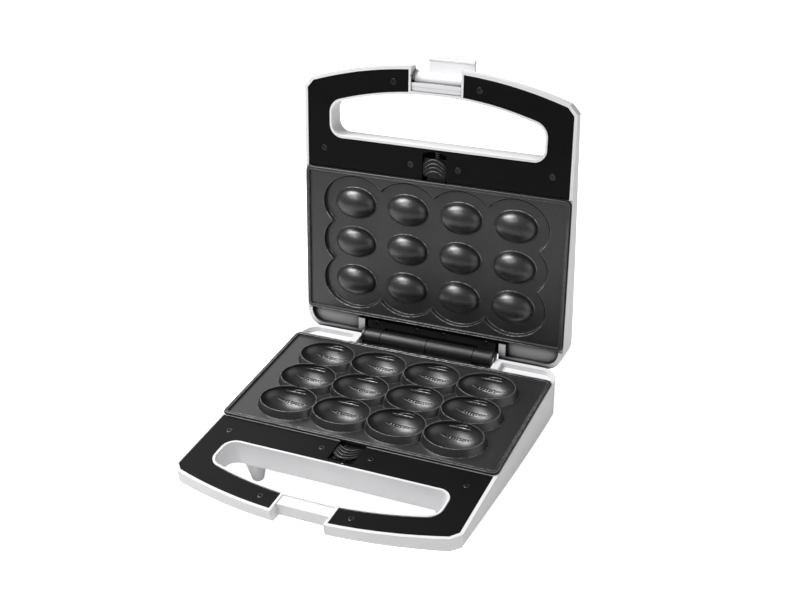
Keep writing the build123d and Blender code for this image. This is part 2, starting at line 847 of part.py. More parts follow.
def lid_plate():
    """Cook plate with a scalloped recess and twelve domes that fill the cups."""
    blank = plate_blank()
    long, short = recess_length / 2, recess_width / 2
    dome_long, dome_short = dome_length / 2, dome_width / 2
    dome = half_ball((dome_long, dome_short, dome_height), True)
    hollow = scale(
        Sphere(1),
        by=(dome_long - plate_wall, dome_short - plate_wall, dome_height - plate_wall),
    )
    with BuildPart() as plate:
        add(blank)
        with BuildSketch(Plane.XY.offset(recess_floor - plate_wall)):
            for x, y in cup_centres:
                with Locations((x, y)):
                    Ellipse(long + plate_wall, short + plate_wall)
            with Locations((0, grid_shift)):
                Rectangle(*grid_span)
        extrude(amount=recess_depth + slab_bottom + plate_wall)
        for x, y in cup_centres:
            for height, spread in ((recess_floor, 0), (field_top, recess_flare)):
                with BuildSketch(Plane.XY.offset(height)):
                    with Locations((x, y)):
                        Ellipse(long + spread, short + spread)
            loft(mode=Mode.SUBTRACT)
        with BuildSketch(Plane.XY.offset(recess_floor)):
            with Locations((0, grid_shift)):
                Rectangle(*grid_span)
        extrude(amount=recess_depth, mode=Mode.SUBTRACT)
        for x, y in cup_centres:
            add(dome.moved(Location((x, y, recess_floor))))
        for x, y in cup_centres:
            add(hollow.moved(Location((x, y, recess_floor))), mode=Mode.SUBTRACT)
    return plate.part


def latch_clip():
    """Latch clip flipped back: barrel, arm and hooked lip, bored for its pin."""
    barrel_z = -latch_pivot_rise
    arm_back = latch_y + latch_barrel_radius
    arm_front = arm_back - latch_arm_thickness
    lip_top = barrel_z - latch_catch
    lip_bottom = lip_top - latch_lip_thickness
    lip_tip = latch_y - latch_lip_reach
    with BuildPart() as clip:
        with BuildSketch(Plane.YZ.offset(-latch_half)):
            with BuildLine():
                Polyline(
                    (arm_back, barrel_z),
                    (arm_back, lip_bottom),
                    (lip_tip, lip_bottom),
                    (lip_tip, lip_top),
                    (arm_front, lip_top),
                    (arm_front, barrel_z),
                    close=True,
                )
            make_face()
            with Locations((latch_y, barrel_z)):
                Circle(latch_barrel_radius)
            bead = latch_lip_thickness / 2 + latch_bead
            with Locations((lip_tip + bead, (lip_top + lip_bottom) / 2)):
                Circle(bead)
        extrude(amount=2 * latch_half)
        corner = clip.edges().filter_by(Axis.X).sort_by_distance((0, arm_back, lip_bottom))[0]
        fillet(corner, latch_round)
        rod(
            latch_y,
            barrel_z,
            latch_pin_radius + latch_bore_gap,
            (-latch_half, latch_half),
            mode=Mode.SUBTRACT,
        )
    return clip.part


def latch_pin():
    """Steel pin through the latch barrel into both cheeks of the notch."""
    with BuildPart() as pin:
        rod(latch_y, -latch_pivot_rise, latch_pin_radius, (-latch_pin_half, latch_pin_half))
    return pin.part


def base_hinge(sign):
    """One base hinge bracket: a strip, a foot and a middle knuckle on a web."""
    axis_z = -hinge_below
    floor = -bay_depth
    with BuildPart() as bracket:
        knuckle = sorted((sign * knuckle_gap, sign * (knuckle_middle - knuckle_gap)))
        long = sorted((sign * knuckle_gap, sign * (knuckle_end - cheek_overlap - knuckle_gap)))
        block(long, (leaf_front, leaf_rear), (floor, floor + leaf_thickness))
        block(knuckle, (leaf_rear, hinge_y), (floor, floor + leaf_thickness))
        block(knuckle, (hinge_y, rear), (floor, floor + hinge_foot_thickness))
        rod(hinge_y, axis_z, knuckle_radius, knuckle)
        bore = hinge_pin_radius + running_fit
        rod(hinge_y, axis_z, bore, (-knuckle_end, knuckle_end), mode=Mode.SUBTRACT)
        for spot in hinge_screw_spots:
            top = (floor + leaf_thickness - screw_head_height, 1)
            post(spot, screw_head_radius + screw_fit, top, mode=Mode.SUBTRACT)
            post(spot, screw_radius + screw_fit, (floor, 1), mode=Mode.SUBTRACT)
    return bracket.part


def lid_hinge():
    """Hinge leaf of the lid: a full strip, with an outer knuckle, web and cheek at each end."""
    axis_z = hinge_below
    floor = -bay_depth
    with BuildPart() as leaf:
        strip_half = knuckle_end - cheek_overlap
        block(
            (-strip_half, strip_half),
            (leaf_front, leaf_rear),
            (floor, -leaf_web_low),
        )
        block(
            (-knuckle_middle, knuckle_middle),
            (leaf_rear, hinge_y - leaf_curtain_back),
            (-leaf_web_high, axis_z - knuckle_radius - leaf_curtain_gap),
        )
        for sign in (-1, 1):
            knuckle = sorted((sign * (knuckle_middle + knuckle_gap), sign * knuckle_end))
            rod(hinge_y, axis_z, knuckle_radius, knuckle)
            web = (leaf_front, hinge_y + leaf_web_back)
            block(knuckle, web, (-leaf_web_high, -leaf_web_low))
            cheek = sorted(
                (
                    sign * (knuckle_end - cheek_overlap),
                    sign * (knuckle_end - cheek_overlap + cheek_thickness),
                )
            )
            rod(hinge_y, axis_z, knuckle_radius + cheek_margin, cheek)
        bore = hinge_pin_radius + running_fit
        rod(hinge_y, axis_z, bore, (-2 * knuckle_end, 2 * knuckle_end), mode=Mode.SUBTRACT)
        for spot in hinge_screw_spots:
            top = (-leaf_web_low - screw_head_height, 1)
            post(spot, screw_head_radius + screw_fit, top, mode=Mode.SUBTRACT)
            post(spot, screw_radius + screw_fit, (floor, 1), mode=Mode.SUBTRACT)
    return leaf.part


def hinge_pin():
    """Steel pin through all the hinge knuckles."""
    with BuildPart() as pin:
        rod(hinge_y, -hinge_below, hinge_pin_radius, (-hinge_pin_half, hinge_pin_half))
        chamfer(pin.edges(), hinge_pin_radius / 5)
    return pin.part


def element(height):
    """Tubular heating element bent into a loop, with a thin terminal pin at each end."""
    wide, deep = element_half_width, element_half_depth
    end = element_end_reach
    points = [
        (-element_end_gap, end, height),
        (-element_end_gap, deep, height),
        (-wide, deep, height),
        (-wide, -deep, height),
        (wide, -deep, height),
        (wide, deep, height),
        (element_end_gap, deep, height),
        (element_end_gap, end, height),
    ]
    with BuildPart() as heater:
        with BuildLine():
            loop = FilletPolyline(*points, radius=element_corner)
        with BuildSketch(Plane(origin=loop @ 0, z_dir=loop % 0)):
            Circle(element_radius)
        sweep(path=loop)
        for sign in (-1, 1):
            with BuildSketch(Plane(origin=(sign * element_end_gap, end, height), z_dir=(0, 1, 0))):
                Circle(element_pin_radius)
            extrude(amount=element_pin_length)
    return heater.part


def reflector(bottom):
    """Sheet tray under the element, lipped all round and holed for its screws."""
    wide, deep = 2 * tray_half_width, 2 * tray_half_depth
    with BuildPart() as tray:
        with BuildSketch(Plane.XY.offset(bottom)):
            RectangleRounded(wide, deep, tray_corner)
        extrude(amount=tray_lip)
        with BuildSketch(Plane.XY.offset(bottom + tray_sheet)):
            RectangleRounded(wide - 2 * tray_sheet, deep - 2 * tray_sheet, tray_corner - tray_sheet)
        extrude(amount=tray_lip, mode=Mode.SUBTRACT)
        for spot in tray_post_spots:
            post(spot, screw_radius + screw_fit, (bottom, 0), mode=Mode.SUBTRACT)
        for sign in (-1, 1):
            gap = sorted(
                (
                    sign * element_end_gap - element_radius - tray_clear,
                    sign * element_end_gap + element_radius + tray_clear,
                )
            )
            lip = (0, 2 * tray_half_depth)
            block(gap, lip, (bottom + tray_sheet + tray_step, 0), mode=Mode.SUBTRACT)
    return tray.part


def element_clips(height):
    """Spring clips that hold the element from below, open at the top."""
    inner = element_radius + clip_gap
    stem_bottom = -element_radius - tray_drop
    stem_top = -inner - clip_wall / 2
    spots = [(sign * element_half_width, 0, 90) for sign in (-1, 1)]
    spots += [(sign * column_pitch, -element_half_depth, 0) for sign in (-1, 1)]
    with BuildPart() as clips:
        for x, y, turn in spots:
            along = (cos(radians(turn)), sin(radians(turn)), 0)
            across = (-sin(radians(turn)), cos(radians(turn)), 0)
            middle = Plane(origin=(x, y, height), x_dir=across, z_dir=along)
            with BuildSketch(middle.offset(-clip_width / 2)):
                Circle(inner + clip_wall)
                with Locations((0, (stem_bottom + stem_top) / 2)):
                    Rectangle(clip_foot, stem_top - stem_bottom)
                Circle(inner, mode=Mode.SUBTRACT)
                with Locations((0, clip_open + inner)):
                    Rectangle(4 * inner, 2 * inner, mode=Mode.SUBTRACT)
            extrude(amount=clip_width)
    return clips.part


def thermostat():
    """Disc thermostat held by its stem against the back of the base plate."""
    top = slab_bottom - element_gap
    bottom = top - thermostat_height
    spot = (0, thermostat_y)
    with BuildPart() as sensor:
        post(spot, thermostat_radius, (bottom, top))
        post(spot, thermostat_stem, (base_tray_bottom + tray_sheet, bottom))
        for sign in (-1, 1):
            tab = sorted((sign * spade_near, sign * (spade_near + spade_thickness)))
            spade = (thermostat_y - spade_width / 2, thermostat_y + spade_width / 2)
            block(tab, spade, (bottom - spade_length, bottom))
    return sensor.part


def thermal_fuse():
    """Thermal fuse on a small saddle on the reflector, with its two stiff leads."""
    tray_top = base_tray_bottom + tray_sheet
    height = tray_top + fuse_radius + fuse_lift
    with BuildPart() as fuse:
        ends = (fuse_x - fuse_length / 2, fuse_x + fuse_length / 2)
        rod(fuse_y, height, fuse_radius, ends)
        rod(fuse_y, height, fuse_lead, (ends[0] - fuse_length / 2, ends[1] + fuse_length / 2))
        saddle = (fuse_y - fuse_radius / 2, fuse_y + fuse_radius / 2)
        block((fuse_x - fuse_radius, fuse_x + fuse_radius), saddle, (tray_top, height))
    return fuse.part


def terminal_block():
    """Terminal block on its post, with a row of screw wells."""
    long, wide, high = terminal_size
    with BuildPart() as terminals:
        block(
            (terminal_x - long / 2, terminal_x + long / 2),
            (terminal_y - wide / 2, terminal_y + wide / 2),
            (-terminal_floor, high - terminal_floor),
        )
        chamfer(terminals.edges().filter_by(Axis.Z), terminal_chamfer)
        for count in range(terminal_wells):
            across = terminal_x + (count - (terminal_wells - 1) / 2) * terminal_well_pitch
            depth = (high - terminal_floor - terminal_well_depth, high - terminal_floor)
            post((across, terminal_y), terminal_well_radius, depth, mode=Mode.SUBTRACT)
    return terminals.part


def cord_inlet():
    """Gland in the base's rear wall: a flange outside, a bored body inside."""
    with BuildPart(inlet_plane) as gland:
        Cylinder(inlet_flange, inlet_flange_thickness, align=from_below)
        rim = gland.faces().sort_by(Axis(inlet_plane.origin, inlet_plane.z_dir))[-1]
        fillet(rim.edges(), inlet_flange_thickness / 3)
        Cylinder(inlet_body, inlet_length, align=from_above)
        Cylinder(inlet_bore, 4 * inlet_length, mode=Mode.SUBTRACT)
    return gland.part


def cord_inlet_nut():
    """Ring nut that draws the gland's flange against the rear wall."""
    with BuildPart() as nut:
        with BuildSketch(inlet_plane.offset(-wall - screw_fit)):
            RegularPolygon(inlet_flange, 6)
            Circle(inlet_body + screw_fit, mode=Mode.SUBTRACT)
        extrude(amount=-inlet_nut_thickness)
    return nut.part


def foot_pads():
    """Rubber pads let into the four feet, standing on the floor."""
    floor = -rim_height
    with BuildPart() as pads:
        for sign in (-1, 1):
            for y, tip in ((front_foot_y, front_foot_tip), (rear_foot_y, rear_foot_radius)):
                radius = tip - pad_margin - screw_fit
                post((sign * front_foot_x, y), radius, (floor, floor + pad_thickness))
    return pads.part


def lamp_lenses():
    """Two clear lamp lenses let into the lid's skin from inside."""
    with BuildPart() as lenses:
        for sign in (-1, 1):
            spot = (sign * lamp_x, plate_front - lamp_reach)
            post(spot, lamp_radius, (-lamp_bottom, -lamp_top))
            post(spot, lamp_radius + lamp_flange, (-lamp_top, lamp_flange - lamp_top))
    return lenses.part


trim_screw_seat = -trim_drop - screw_head_height

for half, place, leaf_top in (
    ("base", base_place, leaf_thickness - bay_depth),
    ("lid", lid_place, -leaf_web_low),
):
    seat = leaf_top - screw_head_height
    shank = seat + bay_depth + screw_length - screw_tip_room
    keep(f"{half}_trim", trim_panel(), place)
    keep(f"{half}_trim_screws", screws(screw_spots, trim_screw_seat, screw_length), place)
    keep(f"{half}_release_button", release_button(), place)
    keep(f"{half}_button_spring", button_spring(), place)
    keep(f"{half}_hinge_screws", screws(hinge_screw_spots, seat, shank), place)

for half, place, height, tray in (
    ("base", base_place, base_element_z, base_tray_bottom),
    ("lid", lid_place, lid_element_z, lid_tray_bottom),
):
    keep(f"{half}_element", element(height), place)
    keep(f"{half}_element_clips", element_clips(height), place)
    keep(f"{half}_reflector", reflector(tray), place)
    tray_screws = screws(tray_post_spots, tray + tray_sheet, screw_length - screw_tip_room)
    keep(f"{half}_reflector_screws", tray_screws, place)

keep("base_housing", base_housing(), base_place)
keep("base_cook_plate", base_plate(), base_place)
keep("base_hinge_left", base_hinge(-1), base_place)
keep("base_hinge_right", base_hinge(1), base_place)
keep("hinge_pin", hinge_pin(), base_place)
keep("thermostat", thermostat(), base_place)
keep("thermal_fuse", thermal_fuse(), base_place)
keep("terminal_block", terminal_block(), base_place)
keep("cord_inlet_gland", cord_inlet(), base_place)
keep("cord_inlet_nut", cord_inlet_nut(), base_place)
keep("foot_pads", foot_pads(), base_place)
keep("lid_housing", lid_housing(), lid_place)
keep("lid_cook_plate", lid_plate(), lid_place)
keep("lid_hinge_leaf", lid_hinge(), lid_place)
keep("latch_clip", latch_clip(), lid_place)
keep("latch_pin", latch_pin(), lid_place)
keep("lamp_lenses", lamp_lenses(), lid_place)
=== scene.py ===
import json
import math

import bmesh
import bpy
from mathutils import Matrix, Vector


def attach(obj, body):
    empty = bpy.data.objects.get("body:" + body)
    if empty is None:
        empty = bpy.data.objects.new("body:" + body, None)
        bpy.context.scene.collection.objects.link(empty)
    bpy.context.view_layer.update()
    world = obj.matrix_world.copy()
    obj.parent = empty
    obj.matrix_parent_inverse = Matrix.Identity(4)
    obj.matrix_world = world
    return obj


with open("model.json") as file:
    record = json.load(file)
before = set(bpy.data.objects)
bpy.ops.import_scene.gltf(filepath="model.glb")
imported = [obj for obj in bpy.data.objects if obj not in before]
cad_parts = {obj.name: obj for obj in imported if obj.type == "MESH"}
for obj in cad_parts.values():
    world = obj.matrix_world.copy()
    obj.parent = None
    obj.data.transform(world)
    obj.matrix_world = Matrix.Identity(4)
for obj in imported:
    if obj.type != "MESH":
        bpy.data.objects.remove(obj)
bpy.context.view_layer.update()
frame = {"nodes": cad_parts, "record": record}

# Sizes in metres that the pieces below share with the CAD. Heights with a minus are below the
# plane where the two halves meet.
mm = 0.001
columns, rows = 4, 3
cup_pitch_x = 0.04695
cup_pitch_y = 0.03414
cup_centre_y = -0.0008
crest_height = 0.0507
bowl = (0.0232, 0.0171, 0.0135)
cup_flare = 0.0032
dome = (0.0179, 0.0128)
dome_floor = -0.0048
scallop = (0.0278, 0.0230)
scallop_flare = 0.0012
field_top = -0.0017
rim_top = -0.0002
plate_half = (0.115, 0.0631)
plate_corner = 0.0045
rim_width = 0.0026
rim_height = 0.0465
button_front = -0.0772
button_top = -0.0021
hinge_y = 0.0797
hinge_z = 0.04355
lid_angle = math.radians(99.6)

# Worked out from them.
crest = crest_height - rim_height
middle_column, middle_row = (columns - 1) / 2, (rows - 1) / 2
row_y = [(row - middle_row) * cup_pitch_y + cup_centre_y for row in range(rows)]
centres = [((column - middle_column) * cup_pitch_x, y) for column in range(columns) for y in row_y]


# Placing

def base_point(x, y, z):
    """A point of the base, its height measured from the parting plane."""
    return Vector((x, y, rim_height + z))


def lid_point(x, y, z):
    """A point of the open lid, given as if the lid lay like the base."""
    closed_y = y - hinge_y
    closed_z = rim_height - z - hinge_z
    cos, sin = math.cos(lid_angle), math.sin(lid_angle)
    open_y = hinge_y + closed_y * cos + closed_z * sin
    open_z = hinge_z - closed_y * sin + closed_z * cos
    return Vector((-x, open_y, open_z))


# Mesh helpers

def finish_mesh(name, mesh, body, material):
    """Turns a bmesh into a named piece that rides on a body."""
    bmesh.ops.recalc_face_normals(mesh, faces=mesh.faces)
    data = bpy.data.meshes.new(name)
    mesh.to_mesh(data)
    mesh.free()
    for polygon in data.polygons:
        polygon.use_smooth = True
    piece = bpy.data.objects.new(name, data)
    bpy.context.scene.collection.objects.link(piece)
    piece.data.materials.append(material)
    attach(piece, body)


def add_bead(mesh, points, normals, bead, closed=False, sides=10):
    """Bead of a half width and a rise along a line. An open one thins out at its ends."""
    half_width, rise = bead
    count = len(points)
    rings = []
    for i, (point, normal) in enumerate(zip(points, normals)):
        before = points[(i - 1) % count] if closed or i else point
        after = points[(i + 1) % count] if closed or i < count - 1 else point
        along = (after - before).normalized()
        across = along.cross(normal).normalized()
        share = 1.0 if closed else math.sin(math.pi * (i + 0.5) / count) ** 0.5
        ring = []
        for k in range(sides):
            turn = 2 * math.pi * k / sides
            offset = across * (math.cos(turn) * half_width) + normal * (math.sin(turn) * rise)
            ring.append(mesh.verts.new(point + offset * share))
        rings.append(ring)
    pairs = list(zip(rings, rings[1:]))
    if closed:
        pairs.append((rings[-1], rings[0]))
    for first, second in pairs:
        for k in range(sides):
            following = (k + 1) % sides
            mesh.faces.new((first[k], first[following], second[following], second[k]))
    if not closed:
        mesh.faces.new(rings[0])
        mesh.faces.new(rings[-1])


def bowl_point(x, y):
    """Point on the inside of a cup, from its middle at the crest, and the way it faces."""
    long, short, deep = bowl
    z = -deep * math.sqrt(max(0.0, 1 - (x / long) ** 2 - (y / short) ** 2))
    return Vector((x, y, z)), -Vector((x / long ** 2, y / short ** 2, z / deep ** 2)).normalized()


def bowl_line(stops, count):
    """Curve on the inside of a cup through three x, y stops, as points and the ways they face."""
    (x0, y0), (x1, y1), (x2, y2) = stops
    middle_x, middle_y = 2 * x1 - (x0 + x2) / 2, 2 * y1 - (y0 + y2) / 2
    pairs = []
    for i in range(count):
        t = i / (count - 1)
        x = (1 - t) ** 2 * x0 + 2 * t * (1 - t) * middle_x + t ** 2 * x2
        y = (1 - t) ** 2 * y0 + 2 * t * (1 - t) * middle_y + t ** 2 * y2
        pairs.append(bowl_point(x, y))
    return [pair[0] for pair in pairs], [pair[1] for pair in pairs]


# Material helpers

materials = {}
noise_span = (0.3, 0.7)
full_span = (0.0, 1.0)


def add_node(tree, kind, **settings):
    node = tree.nodes.new(kind)
    for key, value in settings.items():
        setattr(node, key, value)
    return node


def start_material(name):
    """Keeps a new material under its name. Gives its tree, shader and object coordinates."""
    materials[name] = bpy.data.materials.new(name)
    materials[name].use_nodes = True
    tree = materials[name].node_tree
    shader = tree.nodes["Principled BSDF"]
    coordinates = add_node(tree, "ShaderNodeTexCoord")
    return tree, shader, coordinates.outputs["Object"]


def add_noise(tree, place, scale, detail=2.0, roughness=0.5, stretch=None):
    """Noise in object space. The scale is in features per metre."""
    if stretch:
        mapping = add_node(tree, "ShaderNodeMapping")
        mapping.inputs["Scale"].default_value = stretch
        tree.links.new(place, mapping.inputs["Vector"])
        place = mapping.outputs["Vector"]
    noise = add_node(tree, "ShaderNodeTexNoise")
    noise.inputs["Scale"].default_value = scale
    noise.inputs["Detail"].default_value = detail
    noise.inputs["Roughness"].default_value = roughness
    tree.links.new(place, noise.inputs["Vector"])
    return noise.outputs["Fac"]


def add_range(tree, value, source, target):
    """Maps one range of a value to another, clamped."""
    node = add_node(tree, "ShaderNodeMapRange")
    for key, number in zip(("From Min", "From Max", "To Min", "To Max"), (*source, *target)):
        node.inputs[key].default_value = number
    tree.links.new(value, node.inputs["Value"])
    return node.outputs["Result"]


def add_mix(tree, share, first, second):
    """Mixes two colours. Either may be a colour or the output of another node."""
    node = add_node(tree, "ShaderNodeMix", data_type="RGBA")
    tree.links.new(share, node.inputs["Factor"])
    for key, colour in (("A", first), ("B", second)):
        socket = next(s for s in node.inputs if s.name == key and s.type == "RGBA")
        if isinstance(colour, tuple):
            socket.default_value = (*colour, 1)
        else:
            tree.links.new(colour, socket)
    return next(s for s in node.outputs if s.type == "RGBA")


def add_bumps(tree, shader, layers):
    """Stacks bump layers, each a height, a strength and a depth in metres, on the normal."""
    normal = None
    for height, strength, distance in layers:
        node = add_node(tree, "ShaderNodeBump")
        node.inputs["Strength"].default_value = strength
        node.inputs["Distance"].default_value = distance
        tree.links.new(height, node.inputs["Height"])
        if normal:
            tree.links.new(normal, node.inputs["Normal"])
        normal = node.outputs["Normal"]
    tree.links.new(normal, shader.inputs["Normal"])


def set_colour(tree, shader, colour):
    tree.links.new(colour, shader.inputs["Base Color"])


def set_roughness(tree, shader, value, roughness, span=noise_span):
    """Lets the roughness wander between two values with a noise or wave."""
    tree.links.new(add_range(tree, value, span, roughness), shader.inputs["Roughness"])


# Materials. Each function makes the material of a name.

def moulded_plastic(name, colour, shade, roughness, grain, grain_scale, wave=0.0, gloss=0.5):
    """Moulded plastic: slight colour drift, uneven gloss, mould grain and a faint broad wave."""
    tree, shader, place = start_material(name)
    broad = add_noise(tree, place, scale=14, detail=2)
    set_colour(tree, shader, add_mix(tree, broad, colour, shade))
    cloud = add_noise(tree, place, scale=60, detail=3)
    set_roughness(tree, shader, cloud, roughness)
    fine = add_noise(tree, place, scale=grain_scale, detail=3, roughness=0.6)
    swell = add_noise(tree, place, scale=35, detail=1)
    add_bumps(tree, shader, [(swell, wave, 1.0 * mm), (fine, grain, 0.2 * mm)])
    shader.inputs["Specular IOR Level"].default_value = gloss


def white_plastic(name):
    """Satin white plastic of the two shells and the latch."""
    moulded_plastic(
        name,
        colour=(0.735, 0.735, 0.745),
        shade=(0.715, 0.715, 0.727),
        roughness=(0.30, 0.33),
        grain=0.01,
        grain_scale=1800,
    )


def shade_crevices(name, reach, dark, shelter=(0.44, 0.90)):
    """Darkens a material in narrow gaps: fully below the first openness, not above the second."""
    tree = materials[name].node_tree
    shader = tree.nodes["Principled BSDF"]
    open_colour = shader.inputs["Base Color"].links[0].from_socket
    nearness = add_node(tree, "ShaderNodeAmbientOcclusion", samples=16)
    nearness.inputs["Distance"].default_value = reach
    openness = add_range(tree, nearness.outputs["AO"], shelter, full_span)
    set_colour(tree, shader, add_mix(tree, openness, dark, open_colour))


def add_edge_highlight(tree, width, sharp=0.995, soft=0.88):
    """Painted edge highlight, partly wear: how far a rounded normal leans from the real one."""
    rounded = add_node(tree, "ShaderNodeBevel", samples=8)
    rounded.inputs["Radius"].default_value = width
    geometry = add_node(tree, "ShaderNodeNewGeometry")
    likeness = add_node(tree, "ShaderNodeVectorMath", operation="DOT_PRODUCT")
    tree.links.new(rounded.outputs["Normal"], likeness.inputs[0])
    tree.links.new(geometry.outputs["Normal"], likeness.inputs[1])
    return add_range(tree, likeness.outputs["Value"], (sharp, soft), full_span)


def nonstick_coat(name):
    """Sprayed non-stick coat on a casting: fine speckle, orange peel, edges lightened by painted
    highlight and wear.
    """
    tree, shader, place = start_material(name)
    broad = add_noise(tree, place, scale=30, detail=3)
    ground = add_mix(tree, broad, (0.009, 0.009, 0.0094), (0.014, 0.014, 0.0144))
    speckle = add_noise(tree, place, scale=2600, detail=2, roughness=0.7)
    flecks = add_range(tree, speckle, (0.54, 0.70), (0.0, 0.6))
    speckled = add_mix(tree, flecks, ground, (0.11, 0.11, 0.113))
    # Sharp edges are lightened: a painted highlight, partly wear.
    edge = add_edge_highlight(tree, width=0.6 * mm)
    set_colour(tree, shader, add_mix(tree, edge, speckled, (0.20, 0.20, 0.205)))
    cloud = add_noise(tree, place, scale=260, detail=4)
    set_roughness(tree, shader, cloud, (0.28, 0.34))
    peel = add_noise(tree, place, scale=1500, detail=2)
    add_bumps(tree, shader, [(peel, 0.25, 0.3 * mm), (speckle, 0.35, 0.1 * mm)])
    shader.inputs["Specular IOR Level"].default_value = 0.8


def painted_glint(name, colour, shade, dark):
    """Painted glint: a pale metallic colour in dashes along an edge or ridge that catches light."""
    tree, shader, place = start_material(name)
    patches = add_noise(tree, place, scale=420, detail=2, roughness=0.6)
    glint_dashes = add_range(tree, patches, (0.40, 0.58), full_span)
    fine = add_noise(tree, place, scale=2400, detail=2)
    bright = add_mix(tree, fine, colour, shade)
    set_colour(tree, shader, add_mix(tree, glint_dashes, dark, bright))
    set_roughness(tree, shader, fine, (0.28, 0.42))
    add_bumps(tree, shader, [(fine, 0.2, 0.1 * mm)])
    shader.inputs["Metallic"].default_value = 0.3


def bare_metal(name, colour, shade, roughness, stretch=(1, 1, 1), marks=0.15):
    """Drawn, rolled or plated metal with fine lines along its working direction."""
    tree, shader, place = start_material(name)
    broad = add_noise(tree, place, scale=60, detail=4)
    set_colour(tree, shader, add_mix(tree, broad, colour, shade))
    lines = add_noise(tree, place, scale=900, detail=3, roughness=0.6, stretch=stretch)
    set_roughness(tree, shader, lines, roughness)
    add_bumps(tree, shader, [(lines, marks, 0.2 * mm)])
    shader.inputs["Metallic"].default_value = 1.0


def amber_lens(name):
    """Amber lamp lens with fine prism lines in its plastic."""
    tree, shader, place = start_material(name)
    broad = add_noise(tree, place, scale=300, detail=2)
    set_colour(tree, shader, add_mix(tree, broad, (0.75, 0.22, 0.05), (0.62, 0.15, 0.03)))
    prisms = add_node(tree, "ShaderNodeTexWave")
    prisms.inputs["Scale"].default_value = 260
    tree.links.new(place, prisms.inputs["Vector"])
    set_roughness(tree, shader, prisms.outputs["Fac"], (0.10, 0.22), full_span)
    add_bumps(tree, shader, [(prisms.outputs["Fac"], 0.4, 0.3 * mm)])
    shader.inputs["Transmission Weight"].default_value = 0.25


white_plastic("white_shell")
white_plastic("lid_shell")
shade_crevices("lid_shell", reach=18 * mm, dark=(0.012, 0.012, 0.013))
moulded_plastic(
    "black_trim",
    colour=(0.0030, 0.0030, 0.0032),
    shade=(0.0045, 0.0045, 0.0047),
    roughness=(0.30, 0.38),
    grain=0.08,
    grain_scale=2200,
    wave=0.03,
    gloss=0.12,
)
moulded_plastic(
    "black_button",
    colour=(0.006, 0.006, 0.0063),
    shade=(0.009, 0.009, 0.0094),
    roughness=(0.24, 0.32),
    grain=0.08,
    grain_scale=2200,
    wave=0.02,
    gloss=0.4,
)
moulded_plastic(
    "hinge_black",
    colour=(0.006, 0.006, 0.0063),
    shade=(0.010, 0.010, 0.0104),
    roughness=(0.32, 0.42),
    grain=0.45,
    grain_scale=2600,
    wave=0.03,
    gloss=0.4,
)
moulded_plastic(
    "terminal_plastic",
    colour=(0.74, 0.71, 0.62),
    shade=(0.70, 0.66, 0.56),
    roughness=(0.4, 0.5),
    grain=0.15,
    grain_scale=1500,
    wave=0.03,
)
moulded_plastic(
    "gland_black",
    colour=(0.02, 0.02, 0.021),
    shade=(0.026, 0.026, 0.027),
    roughness=(0.4, 0.5),
    grain=0.2,
    grain_scale=2200,
    wave=0.03,
)
moulded_plastic(
    "foot_rubber",
    colour=(0.06, 0.06, 0.062),
    shade=(0.08, 0.08, 0.082),
    roughness=(0.6, 0.75),
    grain=0.5,
    grain_scale=2400,
    wave=0.05,
)
nonstick_coat("nonstick")
# Painted glints in three strengths, for the bright lines on the cook plates and buttons.
painted_glint(
    "painted_glint",
    colour=(0.62, 0.62, 0.63),
    shade=(0.48, 0.48, 0.49),
    dark=(0.14, 0.14, 0.145),
)
painted_glint(
    "painted_glint_dim",
    colour=(0.13, 0.13, 0.133),
    shade=(0.10, 0.10, 0.103),
    dark=(0.08, 0.08, 0.082),
)
painted_glint(
    "painted_glint_mid",
    colour=(0.30, 0.30, 0.306),
    shade=(0.22, 0.22, 0.224),
    dark=(0.07, 0.07, 0.072),
)
# Black for painted shade along grooves, gaps and the shaded sides of walls.
moulded_plastic(
    "painted_shade_black",
    colour=(0.004, 0.004, 0.0042),
    shade=(0.007, 0.007, 0.0073),
    roughness=(0.55, 0.65),
    grain=0.15,
    grain_scale=2400,
    wave=0.02,
    gloss=0.2,
)
bare_metal(
    "black_screw",
    colour=(0.05, 0.05, 0.052),
    shade=(0.09, 0.09, 0.093),
    roughness=(0.20, 0.32),
)
bare_metal(
    "zinc_screw",
    colour=(0.62, 0.63, 0.65),
    shade=(0.55, 0.57, 0.6),
    roughness=(0.22, 0.34),
)
bare_metal(
    "pin_steel",
    colour=(0.6, 0.6, 0.62),
    shade=(0.52, 0.52, 0.54),
    roughness=(0.16, 0.26),
    stretch=(1, 12, 12),
)
bare_metal(
    "spring_steel",
    colour=(0.5, 0.5, 0.52),
    shade=(0.42, 0.42, 0.44),
    roughness=(0.2, 0.32),
    stretch=(4, 1, 4),
)
bare_metal(
    "heater_sheath",
    colour=(0.33, 0.32, 0.31),
    shade=(0.22, 0.20, 0.18),
    roughness=(0.42, 0.58),
    marks=0.3,
)
bare_metal(
    "reflector_sheet",
    colour=(0.75, 0.76, 0.77),
    shade=(0.66, 0.67, 0.69),
    roughness=(0.18, 0.32),
    stretch=(1, 14, 1),
)
amber_lens("lamp_lens")

# The open lid's sunk deck lies in deep shadow beside its plate, so its shell is darkened in gaps.
own_material = {"lid_housing": "lid_shell"}
for part in frame["record"]["subparts"]:
    cad_object = frame["nodes"][part["node"]]
    for material_slot in cad_object.material_slots:
        material_slot.material = materials[own_material.get(part["node"], part["material_slot"])]
